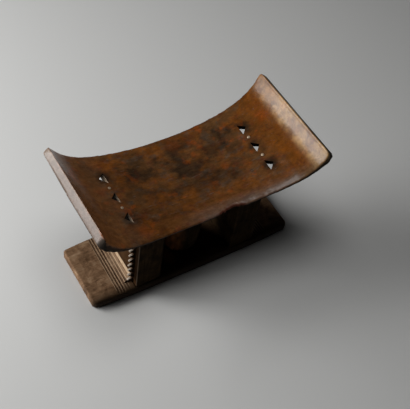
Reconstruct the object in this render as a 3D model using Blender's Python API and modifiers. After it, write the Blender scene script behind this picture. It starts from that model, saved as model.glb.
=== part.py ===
"""Carved wooden stool: a dished seat on two serrated end panels and a centre column over a flat base.

Lengths are in metres. The origin is the centre of the base's underside, +X runs along the seat,
+Y runs to the back and +Z points up.
"""

from math import atan, cos, pi, sin, sqrt

import bmesh
import bpy
from mathutils import Matrix, Vector

# Fits
FIT_GAP = 0.0003
CUT_MARGIN = 0.010

# Seat
SEAT_LENGTH = 0.500
SEAT_HEIGHT = 0.2293
SEAT_RISE = 0.0839
SEAT_END_KICK = 0.58
SEAT_DEPTH_MIDDLE = 0.228
SEAT_DEPTH_ENDS = 0.264
SEAT_THICKNESS = 0.015
SEAT_EDGE_THICKNESS = 0.008
SEAT_RIM_THICKNESS = 0.021
SEAT_RIM_LEAN = 0.72
SEAT_CORNER_RADIUS = 0.007
SEAT_EDGE_ROUND = 0.002

# Triangular perforations and the tacks between them
PERFORATIONS_PER_END = 3
PERFORATION_PITCH = 0.0545
PERFORATION_BASE = 0.028
PERFORATION_REACH = 0.0145
PERFORATION_FLARE = 0.0045
PERFORATION_UNDERCUT = 0.0068
PERFORATION_FROM_PANEL = 0.012
TACK_HEAD_RADIUS = 0.0035
TACK_HEAD_HEIGHT = 0.0014
TACK_SHANK_RADIUS = 0.0012
TACK_SHANK_LENGTH = 0.007

# Base
BASE_LENGTH = 0.489
BASE_DEPTH_MIDDLE = 0.165
BASE_DEPTH_ENDS = 0.153
BASE_THICKNESS = 0.022
BASE_CORNER_RADIUS = 0.006
BASE_EDGE_ROUND = 0.003

# End panels, each with two tenons at the top and two at the foot
PANEL_OUTER = 0.147
PANEL_THICKNESS = 0.059
PANEL_SETBACK = 0.005
PANEL_CORNER_ROUND = 0.002
PANEL_HOUSING_DEPTH = 0.002
TENON_SHOULDER = 0.012
TENON_WIDTH = 0.030
TENON_COVER = 0.005
FOOT_TENON_LENGTH = 0.010

# Serrated ribs, two on the outer face of each panel
RIB_SETBACK = 0.015
RIB_THICKNESS = 0.005
RIB_PROJECTION = 0.0135
RIB_WEB = 0.0015
TOOTH_PITCH = 0.017
TOOTH_TIP_SHARE = 0.82

# Sill on the base along the outer foot of each panel, steep above its knee and flatter below
SILL_HEIGHT = 0.016
SILL_RUN = 0.021
SILL_KNEE_HEIGHT = 0.007
SILL_KNEE_RUN = 0.007
SILL_END_GAP = 0.001

# Incised lines across each end of the base, slightly askew
GROOVES_PER_END = 3
GROOVE_FROM_END = 0.060
GROOVE_PITCH = 0.006
GROOVE_SKEW = 0.003
GROOVE_WIDTH = 0.0034
GROOVE_DEPTH = 0.0014
GROOVE_CLEARANCE = 0.0004

# Centre column
COLUMN_RADIUS = 0.048
COLUMN_NECK_RADIUS = 0.041
COLUMN_TENON_RADIUS = 0.024
COLUMN_HOUSING_DEPTH = 0.002

# Facets
SEAT_STEPS = 17
SEAT_CORNER_STEPS = 4
SEAT_ROWS = 10
BASE_STEPS = 8
BASE_CORNER_STEPS = 4
ROUND_STEPS = 2
ROUND_PROFILE = 0.5
COLUMN_SIDES = 40
COLUMN_STEPS = 10
TACK_SIDES = 16
TACK_STEPS = 4

# Values that follow from the sizes above
SEAT_HALF = SEAT_LENGTH / 2
BASE_HALF = BASE_LENGTH / 2
PANEL_INNER = PANEL_OUTER - PANEL_THICKNESS
PANEL_MIDDLE = PANEL_OUTER - PANEL_THICKNESS / 2
BLANK_TOP = SEAT_HEIGHT + SEAT_RISE
PANEL_SIDES = (("left", -1), ("right", 1))
TENON_SIDES = ((-1, -1), (-1, 1), (1, -1), (1, 1))


def seat_share(x):
    """How far x lies along the seat, from 0 in the middle to 1 at the end."""
    return min(abs(x) / SEAT_HALF, 1.0)


def seat_top(x):
    """Height of the sitting surface: nearly flat in the middle, kicked up at the ends."""
    u = seat_share(x)
    return SEAT_HEIGHT + SEAT_RISE * ((1 - SEAT_END_KICK) * u**2 + SEAT_END_KICK * u**8)


def seat_lean(x):
    """Angle of the sitting surface to the floor at x, always positive."""
    u = seat_share(x)
    slope = SEAT_RISE / SEAT_HALF * ((1 - SEAT_END_KICK) * 2 * u + SEAT_END_KICK * 8 * u**7)
    return atan(slope)


def corner_loss(distance_to_end, radius):
    """How far a rounded plan corner draws the side in at this distance from the end."""
    short = max(radius - distance_to_end, 0.0)
    return radius - sqrt(max(radius**2 - short**2, 0.0))


def seat_half_depth(x):
    """Half depth of the seat in plan: flared towards the ends, with round corners."""
    flare = (SEAT_DEPTH_ENDS - SEAT_DEPTH_MIDDLE) * seat_share(x) ** 2
    return (SEAT_DEPTH_MIDDLE + flare) / 2 - corner_loss(SEAT_HALF - abs(x), SEAT_CORNER_RADIUS)


def seat_thickness(x, y):
    """Thickness of the slab: undercut to thin long edges, full at the two end rims."""
    rim = seat_share(x) ** 6
    middle = SEAT_THICKNESS + (SEAT_RIM_THICKNESS - SEAT_THICKNESS) * rim
    edge = SEAT_EDGE_THICKNESS + (SEAT_RIM_THICKNESS - SEAT_EDGE_THICKNESS) * rim
    across = abs(y) / seat_half_depth(x)
    return middle - (middle - edge) * across**4


def seat_surface_point(x, y):
    return Vector((x, y, seat_top(x)))


def seat_underside_point(x, y, extra=0.0):
    """Point below (x, y) on the slab's underside, lowered by extra."""
    side = 1 if x >= 0 else -1
    lean = SEAT_RIM_LEAN * seat_lean(x)
    depth = seat_thickness(x, y) + extra
    return Vector((x + side * depth * sin(lean), y, seat_top(x) - depth * cos(lean)))


def base_half_depth(x):
    """Half depth of the base in plan: slightly bowed long sides and round corners."""
    u = min(abs(x) / BASE_HALF, 1.0)
    bow = (BASE_DEPTH_MIDDLE - BASE_DEPTH_ENDS) * u**4
    return (BASE_DEPTH_MIDDLE - bow) / 2 - corner_loss(BASE_HALF - abs(x), BASE_CORNER_RADIUS)


PANEL_FRONT = base_half_depth(PANEL_MIDDLE) - PANEL_SETBACK
RIB_FRONT = PANEL_FRONT - RIB_SETBACK
RIB_BACK = RIB_FRONT - RIB_THICKNESS


def slab_stations(half_length, corner_radius, steps, corner_steps):
    """Places along X for a slab's cross sections, closer together round the plan corners."""
    straight = half_length - corner_radius
    half = [straight * i / steps for i in range(steps + 1)]
    for i in range(1, corner_steps + 1):
        half.append(straight + corner_radius * sin(pi / 2 * i / corner_steps))
    return [-x for x in reversed(half[1:])] + half


def add_object(name, mesh_builder, collection):
    """Links a new object whose mesh holds the finished bmesh."""
    bmesh.ops.recalc_face_normals(mesh_builder, faces=mesh_builder.faces)
    mesh = bpy.data.meshes.new(name)
    mesh_builder.to_mesh(mesh)
    mesh_builder.free()
    obj = bpy.data.objects.new(name, mesh)
    collection.objects.link(obj)
    return obj


def slab_mesh(stations, rows, half_depth, top_point, bottom_point, edge_round=0.0):
    """Closed slab from a grid: each grid point goes to a place on the top and on the bottom."""
    bm = bmesh.new()
    columns = len(stations) - 1
    bmesh.ops.create_grid(bm, x_segments=columns, y_segments=rows, size=1.0)
    extruded = bmesh.ops.extrude_face_region(bm, geom=bm.faces[:])
    top = {v for v in extruded["geom"] if isinstance(v, bmesh.types.BMVert)}
    for vert in bm.verts:
        x = stations[round((vert.co.x + 1) / 2 * columns)]
        y = vert.co.y * half_depth(x)
        vert.co = top_point(x, y) if vert in top else bottom_point(x, y)
    if edge_round:
        walls = {f for f in bm.faces if 0 < sum(v in top for v in f.verts) < len(f.verts)}
        rims = [e for e in bm.edges if sum(f in walls for f in e.link_faces) == 1]
        bmesh.ops.bevel(bm, geom=rims, offset=edge_round, segments=ROUND_STEPS, affect="EDGES",
                        profile=ROUND_PROFILE, material=-1, clamp_overlap=True)
    return bm


def box_mesh(low, high, upright_round=0.0):
    """Box between two corners, with its upright edges rounded."""
    bm = bmesh.new()
    bmesh.ops.create_cube(bm, size=1.0)
    size = Vector(high) - Vector(low)
    bmesh.ops.scale(bm, vec=size, verts=bm.verts)
    bmesh.ops.translate(bm, vec=(Vector(high) + Vector(low)) / 2, verts=bm.verts)
    if upright_round:
        upright = [e for e in bm.edges if abs(e.verts[0].co.z - e.verts[1].co.z) > size.z / 2]
        bmesh.ops.bevel(bm, geom=upright, offset=upright_round, segments=ROUND_STEPS,
                        affect="EDGES", profile=ROUND_PROFILE, material=-1)
    return bm


def prism_mesh(outline, y_low, y_high):
    """Prism along Y from an outline of (x, z) points."""
    bm = bmesh.new()
    face = bm.faces.new([bm.verts.new((x, y_low, z)) for x, z in outline])
    extruded = bmesh.ops.extrude_face_region(bm, geom=[face])
    moved = [v for v in extruded["geom"] if isinstance(v, bmesh.types.BMVert)]
    bmesh.ops.translate(bm, vec=(0, y_high - y_low, 0), verts=moved)
    return bm


def cylinder_mesh(radius, z_low, z_high, sides):
    bm = bmesh.new()
    centre = Matrix.Translation((0, 0, (z_low + z_high) / 2))
    bmesh.ops.create_cone(bm, cap_ends=True, segments=sides, radius1=radius, radius2=radius,
                          depth=z_high - z_low, matrix=centre)
    return bm


def turned_object(name, profile, sides, collection):
    """Turned piece: a profile of (radius, z) points, top to bottom, swept by a Screw modifier."""
    mesh = bpy.data.meshes.new(name)
    edges = [(i, i + 1) for i in range(len(profile) - 1)]
    mesh.from_pydata([(radius, 0, z) for radius, z in profile], edges, [])
    obj = bpy.data.objects.new(name, mesh)
    collection.objects.link(obj)
    screw = obj.modifiers.new("turn", "SCREW")
    screw.axis = "Z"
    screw.steps = sides
    screw.render_steps = sides
    screw.use_merge_vertices = True
    screw.merge_threshold = 0.00001
    screw.use_smooth_shade = True
    return obj


def combine(obj, other, operation):
    """Adds one Boolean with the exact solver."""
    boolean = obj.modifiers.new(operation.lower(), "BOOLEAN")
    boolean.operation = operation
    boolean.solver = "EXACT"
    boolean.object = other


def as_guide(obj):
    """Keeps a cutter or a shape to be joined out of renders, drawn as wire."""
    obj.hide_render = True
    obj.display_type = "WIRE"
    return obj


def finish(obj, material):
    obj.data.materials.append(material)
    obj.data.shade_smooth()
    obj.data.set_sharp_from_angle(angle=pi / 6)


def make_material(name, colour, roughness, metallic=0.0):
    material = bpy.data.materials.new(name)
    material.use_nodes = True
    shader = material.node_tree.nodes["Principled BSDF"]
    shader.inputs["Base Color"].default_value = (*colour, 1.0)
    shader.inputs["Roughness"].default_value = roughness
    shader.inputs["Metallic"].default_value = metallic
    return material


def mirrored(low, high, side_x, side_y):
    """Moves a box given in the +X +Y quarter to another quarter."""
    xs = sorted((low[0] * side_x, high[0] * side_x))
    ys = sorted((low[1] * side_y, high[1] * side_y))
    return (xs[0], ys[0], low[2]), (xs[1], ys[1], high[2])


def grown(low, high, gap):
    return tuple(v - gap for v in low), tuple(v + gap for v in high)


def panel_body(side_x):
    """Corners of an end panel's body, from its housing in the base to above the seat."""
    foot = BASE_THICKNESS - PANEL_HOUSING_DEPTH + FIT_GAP
    low = (PANEL_INNER, -PANEL_FRONT, foot)
    return mirrored(low, (PANEL_OUTER, PANEL_FRONT, BLANK_TOP), side_x, 1)


def tenon_plan():
    """Lowest and highest x and y of a tenon in the +X +Y quarter, set in from the panel's faces."""
    y_high = PANEL_FRONT - TENON_SHOULDER
    x_low = PANEL_INNER + TENON_SHOULDER
    return (x_low, y_high - TENON_WIDTH), (PANEL_OUTER - TENON_SHOULDER, y_high)


def seat_tenon(side_x, side_y):
    """Corners of a tenon at the top of a panel, buried in the panel below its shoulder."""
    low, high = tenon_plan()
    surface = seat_top(low[0])
    bottom = surface - SEAT_THICKNESS - CUT_MARGIN
    return mirrored((*low, bottom), (*high, surface - TENON_COVER - FIT_GAP), side_x, side_y)


def foot_tenon(side_x, side_y):
    """Corners of a tenon at the foot of a panel, buried in the panel above its shoulder."""
    low, high = tenon_plan()
    foot = BASE_THICKNESS - PANEL_HOUSING_DEPTH
    return mirrored((*low, foot - FOOT_TENON_LENGTH), (*high, foot + CUT_MARGIN), side_x, side_y)


def rib_outline(side_x):
    """Saw-tooth outline of the rib: each tooth juts out and its top slopes up to the next root."""
    root = PANEL_OUTER + RIB_WEB
    tip = PANEL_OUTER + RIB_PROJECTION
    buried = PANEL_OUTER - RIB_WEB - PANEL_CORNER_ROUND
    z = BASE_THICKNESS + FIT_GAP
    outline = [(buried, z), (root, z)]
    while z < BLANK_TOP - TOOTH_PITCH:
        outline.append((tip, z + TOOTH_TIP_SHARE * TOOTH_PITCH))
        z += TOOTH_PITCH
        outline.append((root, z))
    outline.append((buried, z))
    return [(x * side_x, height) for x, height in outline]


def make_seat_clearance(guides):
    """The space that the seat takes, with its gap, used to shape what stands under it."""
    stations = slab_stations(SEAT_HALF, SEAT_CORNER_RADIUS, SEAT_STEPS, SEAT_CORNER_STEPS)
    roof = Vector((0, 0, BLANK_TOP + CUT_MARGIN))
    space = slab_mesh(stations, SEAT_ROWS, seat_half_depth,
                      lambda x, y: Vector((x, y, 0)) + roof,
                      lambda x, y: seat_underside_point(x, y, FIT_GAP))
    return as_guide(add_object("seat_clearance", space, guides))


def perforation_places():
    """Middle of each triangle's inner side, as (end, x, y)."""
    start = PANEL_OUTER + PERFORATION_FROM_PANEL
    middle = (PERFORATIONS_PER_END - 1) / 2
    return [(end, start, (i - middle) * PERFORATION_PITCH)
            for end in (-1, 1) for i in range(PERFORATIONS_PER_END)]


def tack_places():
    """Place of each tack, midway between two triangles, as (end, x, y)."""
    x = PANEL_OUTER + PERFORATION_FROM_PANEL + PERFORATION_REACH / 3
    middle = PERFORATIONS_PER_END / 2 - 1
    return [(end, x, (i - middle) * PERFORATION_PITCH)
            for end in (-1, 1) for i in range(PERFORATIONS_PER_END - 1)]


def seat_frame(x, y):
    """Matrix that stands a piece on the seat's surface at (x, y), square to it."""
    side = 1 if x >= 0 else -1
    turn = Matrix.Rotation(-side * seat_lean(x), 4, "Y")
    return Matrix.Translation(seat_surface_point(x, y)) @ turn


def make_perforation_cutter(index, end, x, y, guides):
    """Triangular through-hole that points to the seat's end and opens out downwards, most inwards."""
    bm = bmesh.new()
    over = SEAT_RIM_THICKNESS + CUT_MARGIN
    flare = PERFORATION_FLARE / SEAT_THICKNESS
    undercut = PERFORATION_UNDERCUT / SEAT_THICKNESS
    for height in (CUT_MARGIN, -over):
        half = PERFORATION_BASE / 2 - flare * height
        inner = undercut * height
        ring = [(inner, half), (inner, -half), (PERFORATION_REACH - flare * height, 0)]
        bm.faces.new([bm.verts.new((end * rx, ry, height)) for rx, ry in ring])
    bmesh.ops.bridge_loops(bm, edges=bm.edges[:])
    bmesh.ops.transform(bm, matrix=seat_frame(end * x, y), verts=bm.verts)
    return as_guide(add_object(f"perforation_{index}", bm, guides))


def make_tack(name, end, x, y, parts, brass):
    """Domed tack with a straight shank."""
    dome = [(TACK_HEAD_RADIUS * sin(pi / 2 * i / TACK_STEPS),
             FIT_GAP + TACK_HEAD_HEIGHT * cos(pi / 2 * i / TACK_STEPS))
            for i in range(TACK_STEPS + 1)]
    shank = [(TACK_SHANK_RADIUS, FIT_GAP), (TACK_SHANK_RADIUS, -TACK_SHANK_LENGTH),
             (0, -TACK_SHANK_LENGTH)]
    tack = turned_object(name, dome + shank, TACK_SIDES, parts)
    tack.matrix_world = seat_frame(end * x, y)
    finish(tack, brass)


def make_tack_hole(index, end, x, y, guides):
    hole = cylinder_mesh(TACK_SHANK_RADIUS + FIT_GAP, -TACK_SHANK_LENGTH - FIT_GAP, CUT_MARGIN,
                         TACK_SIDES)
    bmesh.ops.transform(hole, matrix=seat_frame(end * x, y), verts=hole.verts)
    return as_guide(add_object(f"tack_hole_{index}", hole, guides))


def column_tenon_top():
    return SEAT_HEIGHT - TENON_COVER - FIT_GAP


def column_foot():
    return BASE_THICKNESS - COLUMN_HOUSING_DEPTH


def make_seat(parts, guides, wood):
    stations = slab_stations(SEAT_HALF, SEAT_CORNER_RADIUS, SEAT_STEPS, SEAT_CORNER_STEPS)
    slab = slab_mesh(stations, SEAT_ROWS, seat_half_depth, seat_surface_point,
                     seat_underside_point, SEAT_EDGE_ROUND)
    seat = add_object("seat", slab, parts)
    for index, place in enumerate(perforation_places(), 1):
        combine(seat, make_perforation_cutter(index, *place, guides), "DIFFERENCE")
    for index, place in enumerate(tack_places(), 1):
        combine(seat, make_tack_hole(index, *place, guides), "DIFFERENCE")
    for index, sides in enumerate(TENON_SIDES, 1):
        mortise = box_mesh(*grown(*seat_tenon(*sides), FIT_GAP))
        combine(seat, as_guide(add_object(f"seat_mortise_{index}", mortise, guides)), "DIFFERENCE")
    socket = cylinder_mesh(COLUMN_TENON_RADIUS + FIT_GAP,
                           SEAT_HEIGHT - SEAT_THICKNESS - CUT_MARGIN,
                           column_tenon_top() + FIT_GAP, COLUMN_SIDES)
    combine(seat, as_guide(add_object("seat_column_socket", socket, guides)), "DIFFERENCE")
    finish(seat, wood)


def sill_outline(side_x):
    """Sill section, from inside the panel's housing down to below the base's top."""
    buried = BASE_THICKNESS / 2
    lower_slope = (SILL_RUN - SILL_KNEE_RUN) / SILL_KNEE_HEIGHT
    foot = PANEL_OUTER + SILL_RUN + lower_slope * (BASE_THICKNESS - buried)
    knee = (PANEL_OUTER + SILL_KNEE_RUN, BASE_THICKNESS + SILL_KNEE_HEIGHT)
    crest = BASE_THICKNESS + SILL_HEIGHT
    outline = [(PANEL_MIDDLE, buried), (foot, buried), knee, (PANEL_OUTER, crest), (PANEL_MIDDLE, crest)]
    return [(x * side_x, z) for x, z in outline]


def groove_mesh(side_x, index):
    """V-shaped cutter for one incised line, which runs inwards from front to back."""
    x = BASE_HALF - GROOVE_FROM_END - index * GROOVE_PITCH
    top = BASE_THICKNESS + GROOVE_CLEARANCE
    half = GROOVE_WIDTH / 2 * (GROOVE_DEPTH + GROOVE_CLEARANCE) / GROOVE_DEPTH
    section = [(x - half, top), (x + half, top), (x, BASE_THICKNESS - GROOVE_DEPTH)]
    reach = BASE_DEPTH_MIDDLE / 2 + CUT_MARGIN
    bm = prism_mesh([(side_x * px, pz) for px, pz in section], -reach, reach)
    back = [v for v in bm.verts if v.co.y > 0]
    bmesh.ops.translate(bm, vec=(-side_x * GROOVE_SKEW, 0, 0), verts=back)
    return bm


def make_base(parts, guides, wood):
    stations = slab_stations(BASE_HALF, BASE_CORNER_RADIUS, BASE_STEPS, BASE_CORNER_STEPS)
    slab = slab_mesh(stations, 1, base_half_depth,
                     lambda x, y: Vector((x, y, BASE_THICKNESS)),
                     lambda x, y: Vector((x, y, 0)), BASE_EDGE_ROUND)
    base = add_object("base", slab, parts)
    sill_end = RIB_BACK - SILL_END_GAP
    for name, side_x in PANEL_SIDES:
        sill = prism_mesh(sill_outline(side_x), -sill_end, sill_end)
        combine(base, as_guide(add_object(f"sill_{name}", sill, guides)), "UNION")
        housing = box_mesh(*grown(*panel_body(side_x), FIT_GAP))
        combine(base, as_guide(add_object(f"housing_{name}", housing, guides)), "DIFFERENCE")
        for index in range(GROOVES_PER_END):
            groove = add_object(f"groove_{name}_{index + 1}", groove_mesh(side_x, index), guides)
            combine(base, as_guide(groove), "DIFFERENCE")
    for index, sides in enumerate(TENON_SIDES, 1):
        mortise = box_mesh(*grown(*foot_tenon(*sides), FIT_GAP))
        combine(base, as_guide(add_object(f"foot_mortise_{index}", mortise, guides)), "DIFFERENCE")
    housing = cylinder_mesh(COLUMN_NECK_RADIUS + FIT_GAP, column_foot() - FIT_GAP,
                            BASE_THICKNESS + CUT_MARGIN, COLUMN_SIDES)
    combine(base, as_guide(add_object("column_housing", housing, guides)), "DIFFERENCE")
    socket = cylinder_mesh(COLUMN_TENON_RADIUS + FIT_GAP,
                           column_foot() - FOOT_TENON_LENGTH - FIT_GAP, BASE_THICKNESS,
                           COLUMN_SIDES)
    combine(base, as_guide(add_object("base_column_socket", socket, guides)), "DIFFERENCE")
    finish(base, wood)


def make_panel(name, side_x, parts, guides, wood, seat_clearance):
    """One end panel: a plain block with two serrated ribs, shaped to the seat, tenoned at both ends."""
    body = box_mesh(*panel_body(side_x), PANEL_CORNER_ROUND)
    panel = add_object(f"end_panel_{name}", body, parts)
    for side_y, place in ((-1, "front"), (1, "back")):
        y_low, y_high = sorted((RIB_BACK * side_y, RIB_FRONT * side_y))
        rib = prism_mesh(rib_outline(side_x), y_low, y_high)
        combine(panel, as_guide(add_object(f"rib_{name}_{place}", rib, guides)), "UNION")
    combine(panel, seat_clearance, "DIFFERENCE")
    for side_y, place in ((-1, "front"), (1, "back")):
        for part, corners in (("seat_tenon", seat_tenon), ("foot_tenon", foot_tenon)):
            tenon = add_object(f"{part}_{name}_{place}", box_mesh(*corners(side_x, side_y)), guides)
            combine(panel, as_guide(tenon), "UNION")
    finish(panel, wood)


def make_column(parts, guides, wood, seat_clearance):
    """Centre column: a barrel turned about its axis, shaped to the seat and tenoned at both ends."""
    foot = column_foot()
    height = SEAT_HEIGHT - foot
    swell = COLUMN_RADIUS - COLUMN_NECK_RADIUS
    profile = [(0, SEAT_HEIGHT)]
    for i in range(COLUMN_STEPS + 1):
        share = i / COLUMN_STEPS
        profile.append((COLUMN_NECK_RADIUS + swell * sin(pi * share), SEAT_HEIGHT - height * share))
    profile.append((COLUMN_TENON_RADIUS, foot))
    profile.append((COLUMN_TENON_RADIUS, foot - FOOT_TENON_LENGTH))
    profile.append((0, foot - FOOT_TENON_LENGTH))
    column = turned_object("centre_column", profile, COLUMN_SIDES, parts)
    combine(column, seat_clearance, "DIFFERENCE")
    tenon = cylinder_mesh(COLUMN_TENON_RADIUS, SEAT_HEIGHT - SEAT_THICKNESS - CUT_MARGIN,
                          column_tenon_top(), COLUMN_SIDES)
    combine(column, as_guide(add_object("column_tenon", tenon, guides)), "UNION")
    finish(column, wood)


def main():
    for obj in list(bpy.data.objects):
        bpy.data.objects.remove(obj)
    parts = bpy.data.collections.new("Carved stool")
    guides = bpy.data.collections.new("Carved stool guides")
    bpy.context.scene.collection.children.link(parts)
    bpy.context.scene.collection.children.link(guides)

    seat_wood = make_material("polished seat wood", (0.052, 0.024, 0.010), 0.38)
    base_wood = make_material("dusty base wood", (0.105, 0.066, 0.038), 0.75)
    support_wood = make_material("dark support wood", (0.045, 0.024, 0.012), 0.60)
    brass = make_material("worn brass", (0.40, 0.30, 0.18), 0.45, metallic=1.0)

    seat_clearance = make_seat_clearance(guides)
    make_seat(parts, guides, seat_wood)
    make_base(parts, guides, base_wood)
    for name, side_x in PANEL_SIDES:
        make_panel(name, side_x, parts, guides, support_wood, seat_clearance)
    make_column(parts, guides, support_wood, seat_clearance)
    for index, place in enumerate(tack_places(), 1):
        make_tack(f"seat_tack_{index}", *place, parts, brass)


main()
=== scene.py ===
"""Carved wooden stool: worn, hand-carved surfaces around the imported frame, and a plain studio."""

from math import atan, cos, hypot, pi, radians, sin, sqrt

import bmesh
import bpy
from mathutils import Matrix, Vector, noise


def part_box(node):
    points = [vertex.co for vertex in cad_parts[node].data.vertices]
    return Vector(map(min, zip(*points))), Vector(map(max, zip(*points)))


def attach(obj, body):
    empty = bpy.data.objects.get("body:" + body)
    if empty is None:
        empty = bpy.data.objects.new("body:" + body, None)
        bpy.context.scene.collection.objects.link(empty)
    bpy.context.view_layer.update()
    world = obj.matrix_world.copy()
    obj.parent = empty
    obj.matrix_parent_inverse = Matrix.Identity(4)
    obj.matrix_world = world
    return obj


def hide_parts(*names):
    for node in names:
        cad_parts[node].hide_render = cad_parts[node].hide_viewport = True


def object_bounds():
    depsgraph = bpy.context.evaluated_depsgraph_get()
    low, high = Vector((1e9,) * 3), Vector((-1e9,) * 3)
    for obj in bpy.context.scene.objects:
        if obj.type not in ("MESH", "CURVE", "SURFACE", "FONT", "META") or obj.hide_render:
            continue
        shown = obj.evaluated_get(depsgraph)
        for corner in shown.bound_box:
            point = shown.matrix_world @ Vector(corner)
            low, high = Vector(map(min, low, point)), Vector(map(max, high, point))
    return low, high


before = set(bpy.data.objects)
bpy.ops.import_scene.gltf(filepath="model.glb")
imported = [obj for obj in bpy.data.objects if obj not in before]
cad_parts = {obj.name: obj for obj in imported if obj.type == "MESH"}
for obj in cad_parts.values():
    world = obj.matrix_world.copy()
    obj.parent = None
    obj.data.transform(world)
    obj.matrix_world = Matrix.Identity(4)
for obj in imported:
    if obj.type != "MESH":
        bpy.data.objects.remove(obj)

bl_info = {
    "name": "Carved wooden stool",
    "version": (1, 0, 0),
    "blender": (4, 5, 0),
    "location": "View3D > Sidebar > Stool",
    "description": "Dresses the stool's frame in carved and worn wood and sets up a plain studio",
    "category": "Object",
}

CAD_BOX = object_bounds()
BODY = "root"
SIDES = (("left", -1), ("right", 1))
ROWS = (-1, 0, 1)
MERGE_DISTANCE = 0.00001
SMOOTH_ANGLE = radians(32)

SEAT_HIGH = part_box("seat")[1]
BASE_LOW, BASE_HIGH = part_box("base")
PANEL_LOW, PANEL_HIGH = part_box("end_panel_right")
SEAT_MIDDLE = 0.2293
RIB_PROJECTION = 0.0135
PANEL_FACE = PANEL_HIGH.x - RIB_PROJECTION

# Meshes: points along and across each slab
SEAT_STEPS, SEAT_ROWS = 70, 52
SEAT_SPACE_STEPS, SEAT_SPACE_ROWS = 40, 20
BASE_STEPS, BASE_ROWS = 60, 44
TACK_ARC_STEPS = 6
# How far cutters and hidden parts run past what they meet, and the gap above the ribs
LINE_OVERCUT, SILL_OVERCUT, GROOVE_LIFT = 0.005, 0.004, 0.0003
RIB_BURIED, SILL_BURIED = 0.004, 0.010
SEAT_GAP, SEAT_SPACE_OVER = 0.0003, 0.010
# The ribs' least projection, and how much the teeth vary from one to the next
RIB_WEB, TOOTH_UNEVEN, TOOTH_VARIETY = 0.0015, 0.10, 0.37

# An old knife scar on the base: start, end, width and depth
SCAR_START, SCAR_END = (-0.2165, -0.0265), (-0.1930, -0.0265)
SCAR_WIDTH, SCAR_DEPTH = 0.0030, 0.0011
# Reddish glows rubbed into the seat: place along and across, and size
SEAT_GLOWS = (
    (0.210, 0.056, 0.017),
    (0.084, -0.013, 0.010),
    (-0.186, 0.017, 0.013),
    (-0.150, -0.095, 0.016),
    (0.013, 0.086, 0.018),
)


def length(name, description, default):
    """A size in metres that a user may change."""
    return bpy.props.FloatProperty(name=name, description=description, default=default,
                                   unit="LENGTH", precision=4)


def share(name, description, default):
    """A plain number that a user may change."""
    return bpy.props.FloatProperty(name=name, description=description, default=default, precision=3)


def count(name, description, default):
    """A whole number that a user may change."""
    return bpy.props.IntProperty(name=name, description=description, default=default, min=0)


def colour(name, description, default):
    """A linear colour that a user may change."""
    return bpy.props.FloatVectorProperty(name=name, description=description, default=default,
                                         subtype="COLOR", size=3, min=0.0, max=1.0)


def place(name, description, default):
    """A point in metres that a user may change."""
    return bpy.props.FloatVectorProperty(name=name, description=description, default=default,
                                         subtype="TRANSLATION", unit="LENGTH", size=3)


def angle(name, description, degrees):
    """An angle that a user may change, written in degrees."""
    return bpy.props.FloatProperty(name=name, description=description, default=radians(degrees),
                                   subtype="ANGLE", unit="ROTATION")


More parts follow.
